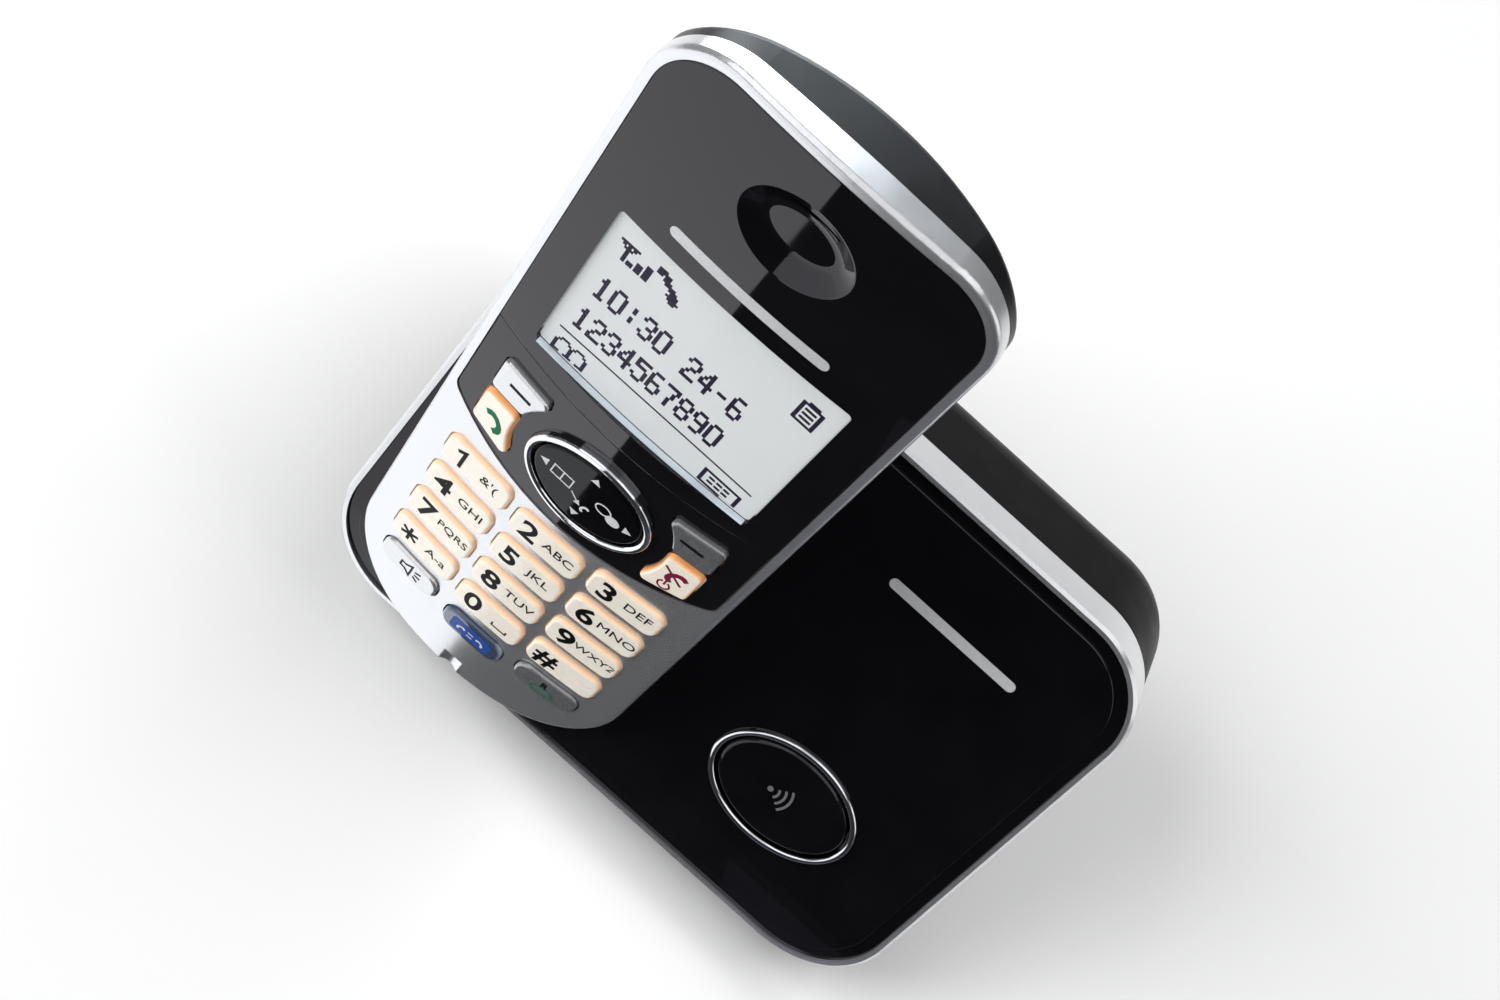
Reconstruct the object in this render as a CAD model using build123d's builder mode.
from build123d import *
import math
import os

os.makedirs("parts", exist_ok=True)

# Cordless telephone: a handset that leans in the cradle of its charging base.
# Millimetres, +Z up, +X right, the front faces -Y, and the desk is Z = 0.
# The origin is on the desk, under the middle of the whole set.

# ---- stance ----
panel_recline = 40.0           # base panel, degrees back from vertical
handset_lean = 15.0            # handset, degrees back from vertical
panel_edge_y = -36.67          # lower edge of the base panel
panel_edge_z = 13.0
handset_x = -25.5              # middle of the handset, left of the middle of the base
seat_up = 1.1                  # handset end above the panel's lower edge, along the panel
seat_out = 1.5                 # and in front of the panel

# ---- handset ----
handset_length = 146.2
handset_width = 49.8
handset_depth = 22.0           # face to back
lower_arc, lower_corner = 40.0, 20.0
upper_arc, upper_corner = 320.0, 11.0
face_crown = 150.0             # radius of the face across its width
parting_depth = 4.2            # face to the joint of the two shells
shell_wall = 1.5
back_round = 5.0
slope_corner = 122.8           # the middle of the back slopes forward from here
slope_end_depth = 10.6         # to this depth at the upper end
slope_crown = 46.0             # radius of the slope across its width
slope_edge = 1.2
lens_border = 1.5              # silver rim beside the gloss panel
lens_floor = 2.9               # face to the seat of the gloss panel
plate_inside = 3.6             # face to the inner side of the front shell
lens_low = 54.5                # lowest point of the gloss panel
lens_split = 79.1              # joint of the control bezel and the lens
split_arc, split_gap = 120.0, 0.14
window_low, window_high, window_width = 83.2, 115.6, 35.8
window_back = 1.55             # face to the back of the clear window
window_middle = (window_low + window_high) / 2
ear_y = 132.5
dish_half_width, dish_half_height = 8.2, 6.4
dish_depth, dish_slope, dish_round = 1.5, 2.9, 3.0
slit_up = 4.5                  # slit of the earpiece above the middle of its dish
notch_radius, notch_rise, notch_end = 2.2, 1.2, 4.3

# ---- keys ----
column_pitch = 13.7
row_pitch = 8.75
first_row_y = 50.6             # outer columns; the middle column sits lower
middle_column_drop = 1.2
function_row_y = 16.2
key_width, key_height, key_corner = 12.2, 6.2, 1.7
function_width, function_height, function_corner = 11.2, 5.4, 2.2
key_rise = 0.7                 # key top above the face
key_base = 4.8                 # face to the underside of a key
key_gap = 0.25                 # key to its hole
flange_height, flange_width = 0.9, 0.45
nav_y = 66.4
nav_half_width, nav_half_height = 9.1, 6.9
nav_clearance = 13.5           # radius kept free round the navigator

# ---- base ----
base_width = 110.6
panel_height = 83.0
panel_corner = 15.2
band_depth = 6.8               # silver band, front to back
band_wall = 1.2
panel_thickness = 2.4
panel_step = 0.45              # raised middle of the panel above its border
panel_border = 2.0
panel_roll = 14.0              # height of the rolled lower edge
panel_roll_radius = 60.0
housing_wall = 2.0
housing_back_y = 36.9
housing_round = 13.0
desk_gap = 1.0                 # underside of the housing above the desk
pocket_gap = 0.4               # handset to the cradle
cradle_wall = 1.4
button_x, button_up = 26.6, 24.5
button_half_width, button_half_height = 11.8, 8.3


# ======================= planes and shared shapes =======================


def leaning(origin, recline):
    """Plane that faces the front and leans back by `recline` degrees: x right, y up, z out."""
    angle = math.radians(recline)
    return Plane(origin=origin, x_dir=(1, 0, 0), z_dir=(0, -math.cos(angle), math.sin(angle)))


panel = leaning((0, panel_edge_y, panel_edge_z), panel_recline)
handset = leaning(panel.from_local_coords(Vector(handset_x, seat_up, seat_out)), handset_lean)
# Cross-section of the handset: x right, y into the handset, z along it.
across = Plane(origin=handset.origin, x_dir=(1, 0, 0), z_dir=handset.y_dir)
# Side view of the base panel: x up, y out of the face, z to the right.
panel_side = Plane(origin=panel.origin, x_dir=panel.y_dir, z_dir=(1, 0, 0))
out_of_face = Axis(handset.origin, handset.z_dir)
out_of_panel = Axis(panel.origin, panel.z_dir)


def arc_rise(radius, half_chord):
    """Height of an arc over a chord."""
    return radius - math.sqrt(radius**2 - half_chord**2)


def arched_outline(half, low, low_radius, low_corner, high, high_radius, high_corner):
    """Symmetric outline between two gently arched ends, with rounded corners."""
    low_side = low + arc_rise(low_radius, half)
    high_side = high - arc_rise(high_radius, half)
    with BuildSketch() as outline:
        with BuildLine():
            lower = ThreePointArc((-half, low_side), (0, low), (half, low_side))
            upper = ThreePointArc((-half, high_side), (0, high), (half, high_side))
            Line(lower @ 0, upper @ 0)
            Line(lower @ 1, upper @ 1)
        make_face()
        fillet(outline.vertices().sort_by(Axis.Y)[:2], low_corner)
        fillet(outline.vertices().sort_by(Axis.Y)[-2:], high_corner)
    return outline.sketch_local


def handset_outline(grow=0.0):
    """Front view of the handset, grown outwards by `grow`."""
    return arched_outline(
        handset_width / 2 + grow,
        -grow, lower_arc + grow, lower_corner + grow,
        handset_length + grow, upper_arc + grow, upper_corner + grow,
    )


def lens_outline(grow=0.0):
    """Front view of the gloss panel with the control bezel, grown by `grow`."""
    inset = lens_border - grow
    return arched_outline(
        handset_width / 2 - inset,
        lens_low - grow, lower_arc + grow, 2.5,
        handset_length - inset, upper_arc - inset, upper_corner - inset,
    )


def window_outline(grow=0.0):
    """Display window: its ends bow outwards, the lower one more."""
    return arched_outline(
        window_width / 2 + grow, window_low - grow, 160, 0.8, window_high + grow, 500, 0.8
    )


def side_key_outline(side, low_outer, low_inner, high_outer, high_inner):
    """Key beside the navigator, hollowed round it: side is -1 for left and 1 for right."""
    outer, inner = side * 19.2, side * 8.0
    with BuildSketch() as outline:
        with BuildLine():
            Polyline(
                (outer, low_outer), (outer, high_outer), (inner, high_inner), (inner, low_inner), close=True
            )
        make_face()
        with Locations((0, nav_y)):
            Circle(nav_clearance, mode=Mode.SUBTRACT)
        fillet(outline.vertices(), 0.9)
    return outline.sketch_local


def grown(sketch, amount):
    """A sketch offset outwards."""
    return offset(sketch, amount=amount, mode=Mode.PRIVATE)


def crowned_room(height):
    """The space under the crowned face of the handset, raised by `height`."""
    reach = 40.0
    drop = arc_rise(face_crown, reach)
    with BuildPart() as room:
        with BuildSketch(across.offset(-8)):
            with BuildLine():
                face = ThreePointArc((-reach, drop - height), (0, -height), (reach, drop - height))
                Polyline(face @ 0, (-reach, reach), (reach, reach), face @ 1)
            make_face()
        extrude(amount=handset_length + 16)
    return room.part


def rear_body(inset=0.0):
    """Body behind the parting plane, moved inwards by `inset`; its crowned upper end slopes forward."""
    slope = math.atan((handset_depth - slope_end_depth) / (handset_length - slope_corner))
    end = handset.from_local_coords(Vector(0, handset_length, -slope_end_depth))
    along = handset.y_dir * math.cos(slope) + handset.z_dir * math.sin(slope)
    reach = 40.0
    side = inset + arc_rise(slope_crown - inset, reach)
    with BuildPart() as body:
        with BuildSketch(handset.offset(-parting_depth)):
            add(handset_outline(-0.15 - inset))
        extrude(amount=parting_depth - handset_depth + inset)
        fillet(faces().sort_by(out_of_face)[0].edges(), back_round - inset)
        with BuildSketch(Plane(origin=end, x_dir=(1, 0, 0), z_dir=along).offset(-200)):
            with BuildLine():
                crown = ThreePointArc((-reach, -side), (0, -inset), (reach, -side))
                Polyline(crown @ 0, (-reach, -150), (reach, -150), crown @ 1)
            make_face()
        extrude(amount=240, mode=Mode.INTERSECT)
        fillet(faces().filter_by(GeomType.CYLINDER).sort_by(SortBy.AREA)[-1].edges(), slope_edge)
    return body.part


def smile_room(shift):
    """The space above the smile-shaped joint of lens and bezel, shifted up by `shift`."""
    reach = 30.0
    low = lens_split + shift
    side = low + arc_rise(split_arc, reach)
    with BuildPart() as room:
        with BuildSketch(handset.offset(-10)):
            with BuildLine():
                smile = ThreePointArc((-reach, side), (0, low), (reach, side))
                Polyline(smile @ 0, (-reach, 160), (reach, 160), smile @ 1)
            make_face()
        extrude(amount=20)
    return room.part


def base_outline(inset=0.0):
    """Front view of the base panel, moved inwards by `inset`."""
    with BuildSketch() as outline:
        with Locations((0, panel_height / 2)):
            RectangleRounded(base_width - 2 * inset, panel_height - 2 * inset, panel_corner - inset)
    return outline.sketch_local


def panel_room(sink):
    """The space behind the panel's face, lowered by `sink`; the lower edge rolls back."""
    sweep_angle = math.degrees(math.asin((panel_roll + 4) / panel_roll_radius))
    with BuildPart() as room:
        with BuildSketch(panel_side.offset(-base_width)):
            with BuildLine():
                rolled = JernArc((panel_roll, -sink), (-1, 0), panel_roll_radius, sweep_angle)
                Polyline(rolled @ 0, (130, -sink), (130, -60), (-20, -60), rolled @ 1)
            make_face()
        extrude(amount=2 * base_width)
    return room.part


def save(piece, name):
    """Label a finished piece and write it to its own file."""
    piece.part.label = name
    export_step(piece.part, f"parts/{name}.step")


face_room = crowned_room(0)
bezel_room = crowned_room(-0.2)
window_room = crowned_room(-0.08)
key_room = crowned_room(key_rise)
ring_room = crowned_room(0.9)

screw_places = ((-12, 8.5), (12, 8.5))
contact_x, contact_depth, contact_y = 8.0, 12.0, 3.2

# Places of the dial and function keys, row by row.
dial_keys = {}
for index, name in enumerate(("1", "2", "3", "4", "5", "6", "7", "8", "9", "star", "0", "hash")):
    row, column = divmod(index, 3)
    drop = middle_column_drop if column == 1 else 0.0
    dial_keys["key_" + name] = ((column - 1) * column_pitch, first_row_y - row * row_pitch - drop)

function_keys = {}
for column, name in enumerate(("speakerphone", "intercom", "recall")):
    drop = middle_column_drop + 0.4 if column == 1 else 0.0
    function_keys["key_" + name] = ((column - 1) * column_pitch, function_row_y - drop)

side_keys = {
    "soft_key_left": side_key_outline(-1, 69.7, 69.7, 76.4, 75.4),
    "soft_key_right": side_key_outline(1, 69.7, 69.7, 76.4, 75.4),
    "key_talk": side_key_outline(-1, 61.2, 57.9, 68.2, 68.2),
    "key_off": side_key_outline(1, 61.2, 57.9, 68.2, 68.2),
}

# ======================= handset =======================

# ---- front shell: silver frame that carries the gloss panel and the keys ----
with BuildPart() as handset_front_case:
    with BuildSketch(handset.offset(-parting_depth)):
        add(handset_outline())
    extrude(amount=parting_depth + 1)
    add(face_room, mode=Mode.INTERSECT)
    fillet(faces().sort_by(out_of_face)[-1].outer_wire().edges(), 0.9)
    with BuildSketch(handset.offset(-lens_floor)):
        add(lens_outline(0.05))
    extrude(amount=lens_floor + 1, mode=Mode.SUBTRACT)
    with BuildSketch(handset.offset(-parting_depth)):
        add(handset_outline(-shell_wall))
    extrude(amount=parting_depth - plate_inside, mode=Mode.SUBTRACT)
    # Holes for the keys, the navigator, the display and the sound of the earpiece.
    with BuildSketch(handset.offset(-parting_depth)):
        with Locations(*dial_keys.values()):
            RectangleRounded(key_width + 2 * key_gap, key_height + 2 * key_gap, key_corner + key_gap)
        with Locations(*function_keys.values()):
            RectangleRounded(
                function_width + 2 * key_gap, function_height + 2 * key_gap, function_corner + key_gap
            )
        for outline in side_keys.values():
            add(grown(outline, key_gap))
        with Locations((0, nav_y)):
            Ellipse(nav_half_width + 0.5, nav_half_height + 0.5)
        with Locations((0, window_middle)):
            Rectangle(38.6, 33.4)
        with Locations((0, ear_y + slit_up)):
            SlotOverall(8.4, 1.6)
    extrude(amount=parting_depth + 1, mode=Mode.SUBTRACT)
    # Round notch and hole of the microphone at the lower end.
    with BuildSketch(across.offset(-2)):
        with Locations((0, -notch_rise)):
            Circle(notch_radius)
    extrude(amount=notch_end + 2, mode=Mode.SUBTRACT)
    with BuildSketch(handset.offset(-parting_depth)):
        with Locations((0, 3.4)):
            Circle(0.6)
    extrude(amount=parting_depth, mode=Mode.SUBTRACT)
    # Pilot holes of the two screws.
    with BuildSketch(handset.offset(-parting_depth)):
        with Locations(*screw_places):
            Circle(1.05)
    extrude(amount=2.6, mode=Mode.SUBTRACT)
save(handset_front_case, "handset_front_case")

# ---- gloss lens with the display window and the earpiece dish ----
with BuildPart() as earpiece_dish:
    with BuildSketch(handset.offset(-dish_depth)):
        with Locations((0, ear_y)):
            Ellipse(dish_half_width - dish_slope, dish_half_height - dish_slope)
    with BuildSketch(handset.offset(dish_depth)):
        with Locations((0, ear_y)):
            Ellipse(dish_half_width + dish_slope, dish_half_height + dish_slope)
    loft()
    fillet(faces().sort_by(out_of_face)[0].edges(), dish_round)

with BuildPart() as lens_panel:
    with BuildSketch(handset.offset(-lens_floor)):
        add(lens_outline())
    extrude(amount=lens_floor + 1)
    add(face_room, mode=Mode.INTERSECT)
    add(smile_room(split_gap / 2), mode=Mode.INTERSECT)
    fillet(faces().sort_by(out_of_face)[-1].edges(), 0.3)
    with BuildSketch(handset.offset(-lens_floor)):
        add(window_outline())
        with Locations((0, ear_y + slit_up)):
            SlotOverall(7.2, 0.7)
    extrude(amount=lens_floor + 1, mode=Mode.SUBTRACT)
    add(earpiece_dish.part, mode=Mode.SUBTRACT)
    fillet(edges(Select.LAST).sort_by(SortBy.LENGTH)[-1], 0.4)
save(lens_panel, "lens_panel")

# ---- gloss bezel round the navigator and the four keys beside it ----
with BuildPart() as control_bezel:
    with BuildSketch(handset.offset(-lens_floor)):
        add(lens_outline())
    extrude(amount=lens_floor + 1)
    add(bezel_room, mode=Mode.INTERSECT)
    add(smile_room(-split_gap / 2), mode=Mode.SUBTRACT)
    fillet(faces().sort_by(out_of_face)[-1].outer_wire().edges(), 0.2)
    with BuildSketch(handset.offset(-lens_floor)):
        for outline in side_keys.values():
            add(grown(outline, key_gap))
        with Locations((0, nav_y)):
            Ellipse(nav_half_width + 1.6, nav_half_height + 1.6)
    extrude(amount=lens_floor + 1, mode=Mode.SUBTRACT)
save(control_bezel, "control_bezel")

# ---- clear display window ----
with BuildPart() as display_window:
    with BuildSketch(handset.offset(-window_back)):
        add(window_outline(-0.05))
    extrude(amount=3)
    add(window_room, mode=Mode.INTERSECT)
save(display_window, "display_window")

# ---- display glass and the light guide behind it ----
with BuildPart() as display_module:
    with BuildSketch(handset.offset(-5.2)):
        with Locations((0, window_middle)):
            Rectangle(38.0, 33.0)
    extrude(amount=5.2 - lens_floor - 0.05)
    with BuildSketch(handset.offset(-lens_floor - 0.1)):
        add(window_outline(-0.15))
    extrude(amount=lens_floor - window_back)
save(display_module, "display_module")

with BuildPart() as display_light_guide:
    with BuildSketch(handset.offset(-6.9)):
        with Locations((0, window_middle)):
            Rectangle(39.0, 35.0)
    extrude(amount=1.6)
save(display_light_guide, "display_light_guide")

# ---- navigator: fixed ring, rocking key and the gimbal under it ----
with BuildPart() as navigator_ring:
    with BuildSketch(handset.offset(-lens_floor)):
        with Locations((0, nav_y)):
            Ellipse(nav_half_width + 1.55, nav_half_height + 1.55)
            Ellipse(nav_half_width + 0.35, nav_half_height + 0.35, mode=Mode.SUBTRACT)
    extrude(amount=lens_floor + 2)
    add(ring_room, mode=Mode.INTERSECT)
    fillet(faces().sort_by(out_of_face)[-1].edges(), 0.5)
save(navigator_ring, "navigator_ring")

with BuildPart() as navigator_key:
    with BuildSketch(handset.offset(-plate_inside)):
        with Locations((0, nav_y)):
            Ellipse(nav_half_width, nav_half_height)
    extrude(amount=plate_inside + 2)
    add(key_room, mode=Mode.INTERSECT)
    fillet(faces().sort_by(out_of_face)[-1].edges(), 0.6)
save(navigator_key, "navigator_key")

with BuildPart() as navigator_gimbal:
    with BuildSketch(handset.offset(-4.9)):
        with Locations((0, nav_y)):
            Ellipse(5.0, 4.0)
    extrude(amount=1.0)
save(navigator_gimbal, "navigator_gimbal")


# ---- keys: a cap over a flange that keeps it behind the shell ----
def key_piece(outline, edge_round):
    """Key cap with its flange, from its front outline."""
    with BuildPart() as key:
        with BuildSketch(handset.offset(-key_base)):
            add(outline)
        extrude(amount=key_base + 2)
        add(key_room, mode=Mode.INTERSECT)
        fillet(key.faces().sort_by(out_of_face)[-1].edges(), edge_round)
        with BuildSketch(handset.offset(-key_base)):
            add(grown(outline, flange_width))
        extrude(amount=flange_height)
    return key


def bar_outline(place, width, height, corner):
    """Rounded bar of a dial or function key."""
    with BuildSketch() as outline:
        with Locations(place):
            RectangleRounded(width, height, corner)
    return outline.sketch_local


for name, place in dial_keys.items():
    save(key_piece(bar_outline(place, key_width, key_height, key_corner), 0.5), name)
for name, place in function_keys.items():
    bar = bar_outline(place, function_width, function_height, function_corner)
    save(key_piece(bar, 0.6), name)
for name, outline in side_keys.items():
    save(key_piece(outline, 0.45), name)

# ---- rubber mat under the keys, and the circuit board ----
mat_back = 6.6
with BuildPart() as keypad_mat:
    with BuildSketch(handset.offset(-mat_back)):
        with Locations((0, 44.5)):
            RectangleRounded(42.0, 66.0, 3.0)
    extrude(amount=1.0)
save(keypad_mat, "keypad_mat")

with BuildPart() as handset_board:
    with BuildSketch(handset.offset(-8.4)):
        with Locations((0, 74.5)):
            RectangleRounded(42.0, 121.0, 3.0)
    extrude(amount=1.2)
save(handset_board, "handset_board")

# ---- earpiece, ringer and microphone ----
with BuildPart() as earpiece_speaker:
    with BuildSketch(handset.offset(-7.0)):
        with Locations((0, ear_y)):
            Circle(9.5)
    extrude(amount=7.0 - plate_inside)
    with BuildSketch(handset.offset(-plate_inside)):
        with Locations((0, ear_y)):
            Circle(8.0)
    extrude(amount=-0.5, mode=Mode.SUBTRACT)
save(earpiece_speaker, "earpiece_speaker")

ringer_y = 42.0
ringer_face = handset_depth - shell_wall
with BuildPart() as ringer_speaker:
    with BuildSketch(handset.offset(-ringer_face)):
        with Locations((0, ringer_y)):
            Circle(10.0)
    extrude(amount=1.6)
    with BuildSketch(handset.offset(-ringer_face + 1.6)):
        with Locations((0, ringer_y)):
            Circle(6.5)
    extrude(amount=3.0)
save(ringer_speaker, "ringer_speaker")

with BuildPart() as microphone:
    with BuildSketch(handset.offset(-6.0)):
        with Locations((0, 4.6)):
            Circle(2.0)
    extrude(amount=6.0 - plate_inside)
save(microphone, "microphone")

# ---- rear shell with the battery well ----
door_low, door_high, door_half = 73.0, 115.0, 14.6
door_middle = (door_low + door_high) / 2
well_low, well_high, well_front = 72.3, 118.9, 9.6
well_middle = (well_low + well_high) / 2

with BuildPart() as handset_rear_case:
    add(rear_body())
    add(rear_body(shell_wall), mode=Mode.SUBTRACT)
    # Battery well: a frame inside the shell, open to the back under the door.
    with BuildSketch(handset.offset(-handset_depth + shell_wall - 0.1)):
        with Locations((0, well_middle)):
            Rectangle(2 * door_half + 2.2, well_high - well_low + 2.0)
    extrude(amount=handset_depth - shell_wall + 0.1 - well_front + 0.7)
    add(rear_body(), mode=Mode.INTERSECT)
    with BuildSketch(handset.offset(-handset_depth + shell_wall)):
        with Locations((0, well_middle)):
            Rectangle(2 * door_half - 2.4, well_high - well_low)
    extrude(amount=handset_depth - shell_wall - well_front, mode=Mode.SUBTRACT)
    with BuildSketch(handset.offset(-handset_depth)):
        with Locations((0, door_middle)):
            RectangleRounded(2 * door_half + 0.3, door_high - door_low + 0.3, 2.0)
    extrude(amount=shell_wall, mode=Mode.SUBTRACT)
    # Ringer grille.
    with BuildSketch(handset.offset(-handset_depth)):
        with Locations((0, ringer_y)):
            with GridLocations(0, 2.6, 1, 5):
                SlotOverall(12, 1.1)
    extrude(amount=shell_wall, mode=Mode.SUBTRACT)
    # Screw posts with their counterbores.
    with BuildSketch(handset.offset(-parting_depth)):
        with Locations(*screw_places):
            Circle(2.9)
    extrude(amount=parting_depth - handset_depth + shell_wall - 0.3)
    with BuildSketch(handset.offset(-parting_depth)):
        with Locations(*screw_places):
            Circle(1.15)
    extrude(amount=-handset_depth, mode=Mode.SUBTRACT)
    with BuildSketch(handset.offset(-10)):
        with Locations(*screw_places):
            Circle(2.2)
    extrude(amount=-handset_depth, mode=Mode.SUBTRACT)
    # Windows of the two charging contacts in the lower end.
    with BuildSketch(handset.offset(-contact_depth - 2.2)):
        with Locations((-contact_x, 1), (contact_x, 1)):
            Rectangle(3.6, 6.0)
    extrude(amount=4.4, mode=Mode.SUBTRACT)
save(handset_rear_case, "handset_rear_case")

# ---- battery door, cells and contacts ----
with BuildPart() as battery_door:
    with BuildSketch(handset.offset(-handset_depth)):
        with Locations((0, door_middle)):
            RectangleRounded(2 * door_half, door_high - door_low, 1.9)
    extrude(amount=1.4)
    with BuildSketch(handset.offset(-handset_depth)):
        with Locations((0, door_high - 7)):
            with GridLocations(0, 1.8, 1, 4):
                SlotOverall(10, 0.8)
    extrude(amount=0.5, mode=Mode.SUBTRACT)
save(battery_door, "battery_door")

cell_radius, cell_length, cell_depth = 5.2, 44.0, 14.95
cell_low = well_middle - cell_length / 2
cell_x = 5.9
with BuildPart() as battery_cells:
    for side in (-1, 1):
        end = handset.from_local_coords(Vector(side * cell_x, cell_low, -cell_depth))
        with BuildSketch(Plane(origin=end, x_dir=(1, 0, 0), z_dir=handset.y_dir)):
            Circle(cell_radius)
        extrude(amount=cell_length - 1)
        tip = handset.from_local_coords(Vector(side * cell_x, cell_low + cell_length - 1, -cell_depth))
        with BuildSketch(Plane(origin=tip, x_dir=(1, 0, 0), z_dir=handset.y_dir)):
            Circle(1.9)
        extrude(amount=1)
save(battery_cells, "battery_cells")

well_half = (well_high - well_low) / 2
with BuildPart() as battery_contacts:
    for end in (-1, 1):
        with BuildSketch(handset.offset(-cell_depth - 3)):
            for side in (-1, 1):
                with Locations((side * cell_x, well_middle + end * (well_half - 0.35))):
                    Rectangle(7.0, 0.6)
        extrude(amount=6)
        for side in (-1, 1):
            foot = handset.from_local_coords(
                Vector(side * cell_x, well_middle + end * (well_half - 0.5), -cell_depth)
            )
            with BuildSketch(Plane(origin=foot, x_dir=(1, 0, 0), z_dir=-end * handset.y_dir)):
                Circle(1.8)
            extrude(amount=well_half - cell_length / 2 - 0.6)
save(battery_contacts, "battery_contacts")

# ---- charging contacts in the lower end, and the two screws ----
with BuildPart() as handset_charge_contacts:
    with BuildSketch(handset.offset(-contact_depth - 2.8)):
        with Locations((-contact_x, contact_y + 0.25), (contact_x, contact_y + 0.25)):
            Rectangle(5.0, 0.5)
    extrude(amount=5.6)
save(handset_charge_contacts, "handset_charge_contacts")

with BuildPart() as handset_screws:
    with BuildSketch(handset.offset(-10)):
        with Locations(*screw_places):
            Circle(1.9)
    extrude(amount=-1.6)
    with BuildSketch(handset.offset(-10)):
        with Locations(*screw_places):
            Circle(1.0)
    extrude(amount=8.1)
    with BuildSketch(handset.offset(-11.6)):
        with Locations(*screw_places):
            Rectangle(2.4, 0.6)
            Rectangle(0.6, 2.4)
    extrude(amount=0.9, mode=Mode.SUBTRACT)
save(handset_screws, "handset_screws")

# ======================= base =======================

base_screw_places = ((48, 11), (6, 11), (40, 72), (-40, 72))
boss_length = 6.0
tube_front = panel_thickness + boss_length + 0.2
tube_seat = tube_front + 2.2
locator_board_top = 8.2
board_top = 7.1                # base circuit board above the desk
line_jack_x, line_jack_z = 18.0, 13.7
dc_jack_x, dc_jack_z = 36.0, 12.2
feet_places = ((-38, -14), (38, -14), (-40, 26), (40, 26))
# Back wall seen from behind: x to the viewer's right, y up.
rear = Plane(origin=(0, housing_back_y, 0), x_dir=(-1, 0, 0), z_dir=(0, 1, 0))

# The space that the handset takes up, with its clearance.
with BuildPart() as pocket:
    with BuildSketch(handset.offset(-handset_depth - pocket_gap)):
        add(handset_outline(pocket_gap))
    extrude(amount=handset_depth + 20)

# ---- silver band round the panel ----
with BuildPart() as base_trim_band:
    with BuildSketch(panel.offset(-band_depth)):
        add(base_outline())
    extrude(amount=band_depth + 1)
    add(panel_room(-0.1), mode=Mode.INTERSECT)
    chamfer(faces().sort_by(out_of_panel)[-1].outer_wire().edges(), 0.5)
    with BuildSketch(panel.offset(-band_depth)):
        add(base_outline(band_wall))
    extrude(amount=band_depth + 2, mode=Mode.SUBTRACT)
    add(pocket.part, mode=Mode.SUBTRACT)
save(base_trim_band, "base_trim_band")

# ---- gloss panel: raised middle, rolled lower edge, mouth of the cradle ----
with BuildPart() as panel_middle:
    with BuildSketch(panel.offset(-panel_thickness)):
        add(base_outline(band_wall + 0.1 + panel_border))
    extrude(amount=panel_thickness + 1)
    add(panel_room(0), mode=Mode.INTERSECT)
    fillet(faces().sort_by(out_of_panel)[-1].outer_wire().edges(), 0.3)

with BuildPart() as base_front_panel:
    with BuildSketch(panel.offset(-panel_thickness)):
        add(base_outline(band_wall + 0.05))
    extrude(amount=panel_thickness + 1)
    add(panel_room(panel_step), mode=Mode.INTERSECT)
    add(panel_middle.part)
    add(pocket.part, mode=Mode.SUBTRACT)
    with BuildSketch(panel.offset(-panel_thickness)):
        with Locations((button_x, button_up)):
            Ellipse(button_half_width + 1.5, button_half_height + 1.5)
    extrude(amount=panel_thickness + 1, mode=Mode.SUBTRACT)
    # Bosses for the screws of the housing, and two posts for the locator board.
    with BuildSketch(panel.offset(-panel_thickness)):
        with Locations(*base_screw_places):
            Circle(3.0)
    extrude(amount=-boss_length)
    with BuildSketch(panel.offset(-panel_thickness - boss_length)):
        with Locations(*base_screw_places):
            Circle(1.55)
    extrude(amount=boss_length, mode=Mode.SUBTRACT)
    with BuildSketch(panel.offset(-locator_board_top)):
        with Locations((button_x - 14.8, button_up), (button_x + 14.8, button_up)):
            Circle(1.4)
    extrude(amount=locator_board_top - panel_thickness)
save(base_front_panel, "base_front_panel")

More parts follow.
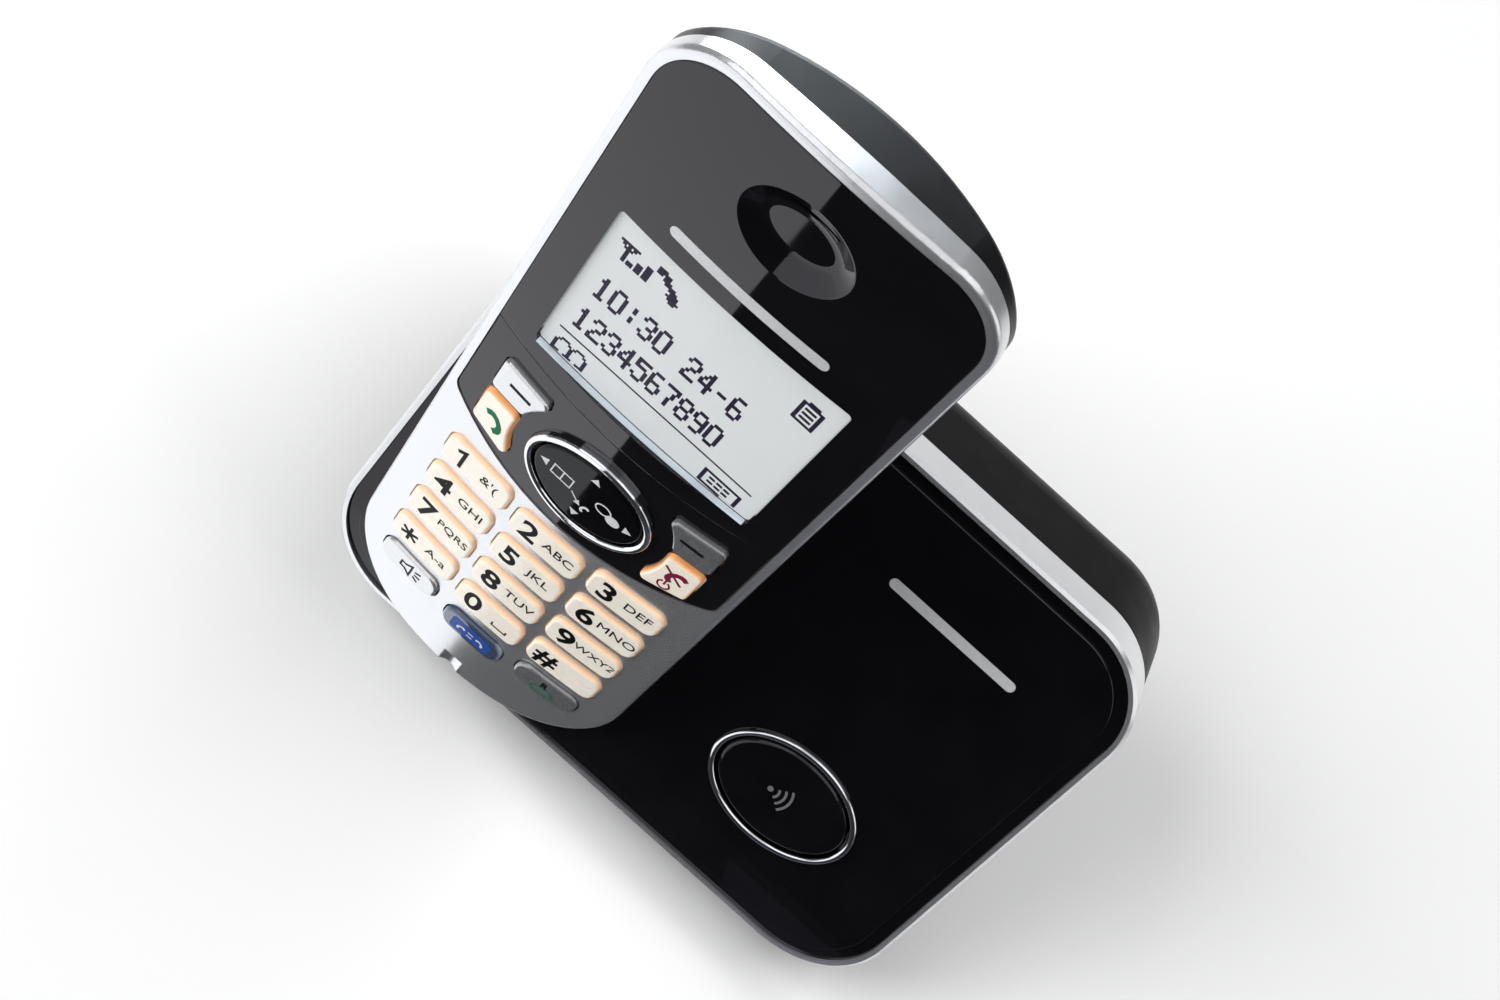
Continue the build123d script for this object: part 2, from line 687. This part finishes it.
# ---- rear housing ----
with BuildPart() as base_rear_housing:
    with BuildSketch(panel.offset(-band_depth)):
        add(base_outline(0.3))
    extrude(amount=-90)
    with BuildSketch(Plane.YZ.offset(-base_width)):
        with BuildLine():
            Polyline(
                (-70, desk_gap), (housing_back_y, desk_gap), (housing_back_y, 120), (-70, 120), close=True
            )
        make_face()
    extrude(amount=2 * base_width, mode=Mode.INTERSECT)
    fillet(faces().sort_by(Axis.Y)[-1].edges().sort_by(Axis.Z)[1:], housing_round)
    fillet(faces().sort_by(Axis.Z)[0].edges(), 1.2)
    offset(amount=-housing_wall, openings=faces().sort_by(out_of_panel)[-1])
    # Tubes for the screws, reached from outside.
    with BuildSketch(panel.offset(-tube_front)):
        with Locations(*base_screw_places):
            Circle(3.6)
    extrude(until=Until.NEXT, dir=-panel.z_dir)
    with BuildSketch(panel.offset(-tube_front)):
        with Locations(*base_screw_places):
            Circle(1.6)
    extrude(amount=-60, mode=Mode.SUBTRACT)
    with BuildSketch(panel.offset(-tube_seat)):
        with Locations(*base_screw_places):
            Circle(2.8)
    extrude(amount=-60, mode=Mode.SUBTRACT)
    # Posts of the circuit board.
    with BuildSketch(Plane.XY.offset(desk_gap + 1)):
        with Locations((10, 3), (44, 3), (10, 26), (44, 26)):
            Circle(1.8)
    extrude(amount=board_top - 1.6 - desk_gap - 1)
    # Mouths of the two sockets in the back wall.
    with BuildSketch(rear):
        with Locations((-line_jack_x, line_jack_z)):
            RectangleRounded(10.8, 8.4, 0.8)
        with Locations((-dc_jack_x, dc_jack_z)):
            Circle(3.8)
    extrude(amount=-housing_wall - 0.5, mode=Mode.SUBTRACT)
    # Seats of the rubber feet.
    with BuildSketch(Plane.XY.offset(desk_gap)):
        with Locations(*feet_places):
            Circle(5.1)
    extrude(amount=0.7, mode=Mode.SUBTRACT)
save(base_rear_housing, "base_rear_housing")

# ---- cradle: the pocket that the handset stands in ----
with BuildPart() as cradle_room:
    with BuildSketch(panel.offset(-panel_thickness)):
        add(base_outline(band_wall + 0.25))
    extrude(amount=-4.2)
    with BuildSketch(panel.offset(-panel_thickness)):
        add(base_outline(housing_wall + 0.5))
    extrude(amount=-60)

with BuildPart() as handset_cradle:
    with BuildSketch(handset.offset(-handset_depth - pocket_gap - cradle_wall)):
        add(handset_outline(pocket_gap + cradle_wall))
    extrude(amount=handset_depth + 20)
    add(cradle_room.part, mode=Mode.INTERSECT)
    add(pocket.part, mode=Mode.SUBTRACT)
    with BuildSketch(handset.offset(-contact_depth - 1.8)):
        with Locations((-contact_x, -2), (contact_x, -2)):
            Rectangle(2.8, 6.0)
    extrude(amount=3.6, mode=Mode.SUBTRACT)
save(handset_cradle, "handset_cradle")

with BuildPart() as base_charge_contacts:
    with BuildSketch(handset.offset(-contact_depth - 1.5)):
        with Locations((-contact_x, 0), (contact_x, 0)):
            Rectangle(2.4, 2 * contact_y - 0.6)
    extrude(amount=3.0)
    fillet(edges().filter_by(Axis.X).group_by(Axis(handset.origin, handset.y_dir))[-1], 0.6)
save(base_charge_contacts, "base_charge_contacts")

# ---- locator button with its ring, switch and board ----
with BuildPart() as locator_ring:
    with BuildSketch(panel.offset(-panel_thickness)):
        with Locations((button_x, button_up)):
            Ellipse(button_half_width + 1.45, button_half_height + 1.45)
            Ellipse(button_half_width + 0.35, button_half_height + 0.35, mode=Mode.SUBTRACT)
    extrude(amount=panel_thickness + 0.7)
    fillet(faces().sort_by(out_of_panel)[-1].edges(), 0.45)
save(locator_ring, "locator_ring")

button_back = panel_thickness + 1.0
with BuildPart() as locator_button:
    with BuildSketch(panel.offset(-button_back)):
        with Locations((button_x, button_up)):
            Ellipse(button_half_width, button_half_height)
    extrude(amount=button_back + 0.5)
    fillet(faces().sort_by(out_of_panel)[-1].edges(), 0.9)
    with BuildSketch(panel.offset(-button_back)):
        with Locations((button_x, button_up)):
            Ellipse(button_half_width + 0.8, button_half_height + 0.8)
    extrude(amount=0.6)
    with BuildSketch(panel.offset(-button_back)):
        with Locations((button_x, button_up)):
            Circle(2.0)
    extrude(amount=-1.2)
save(locator_button, "locator_button")

with BuildPart() as locator_switch:
    with BuildSketch(panel.offset(-locator_board_top)):
        with Locations((button_x, button_up)):
            RectangleRounded(6.0, 6.0, 0.4)
    extrude(amount=2.3)
    with BuildSketch(panel.offset(-locator_board_top + 2.3)):
        with Locations((button_x, button_up)):
            Circle(1.6)
    extrude(amount=0.5)
save(locator_switch, "locator_switch")

with BuildPart() as locator_board:
    with BuildSketch(panel.offset(-locator_board_top)):
        with Locations((button_x, button_up)):
            RectangleRounded(33.0, 15.0, 1.5)
    extrude(amount=-1.2)
save(locator_board, "locator_board")

# ---- circuit board with the two sockets ----
with BuildPart() as base_board:
    with BuildSketch(Plane.XY.offset(board_top)):
        with Locations((27, 16)):
            RectangleRounded(40.0, 32.0, 1.5)
    extrude(amount=-1.6)
save(base_board, "base_board")

socket_face = housing_wall + 0.1
with BuildPart() as line_jack:
    with BuildSketch(rear.offset(-socket_face)):
        with Locations((-line_jack_x, board_top + 6.5)):
            Rectangle(13.4, 13.0)
    extrude(amount=-14)
    with BuildSketch(rear.offset(-socket_face)):
        with Locations((-line_jack_x, line_jack_z)):
            Rectangle(9.8, 7.2)
        with Locations((-line_jack_x, line_jack_z - 4.0)):
            Rectangle(6.0, 2.4)
    extrude(amount=-11.5, mode=Mode.SUBTRACT)
save(line_jack, "line_jack")

with BuildPart() as dc_jack:
    with BuildSketch(rear.offset(-socket_face)):
        with Locations((-dc_jack_x, board_top + 5.0)):
            RectangleRounded(9.4, 10.0, 0.8)
    extrude(amount=-12)
    with BuildSketch(rear.offset(-socket_face)):
        with Locations((-dc_jack_x, dc_jack_z)):
            Circle(2.75)
            Circle(0.8, mode=Mode.SUBTRACT)
    extrude(amount=-9.5, mode=Mode.SUBTRACT)
save(dc_jack, "dc_jack")

# ---- rubber feet and the four housing screws ----
with BuildPart() as rubber_feet:
    with BuildSketch():
        with Locations(*feet_places):
            Circle(5.0)
    extrude(amount=desk_gap + 0.65)
    fillet(edges().group_by(Axis.Z)[0], 0.4)
save(rubber_feet, "rubber_feet")

with BuildPart() as base_screws:
    with BuildSketch(panel.offset(-tube_seat)):
        with Locations(*base_screw_places):
            Circle(2.4)
    extrude(amount=-1.8)
    with BuildSketch(panel.offset(-tube_seat)):
        with Locations(*base_screw_places):
            Circle(1.5)
    extrude(amount=tube_seat - panel_thickness - 0.8)
    with BuildSketch(panel.offset(-tube_seat - 1.8)):
        with Locations(*base_screw_places):
            Rectangle(3.0, 0.7)
            Rectangle(0.7, 3.0)
    extrude(amount=1.0, mode=Mode.SUBTRACT)
save(base_screws, "base_screws")
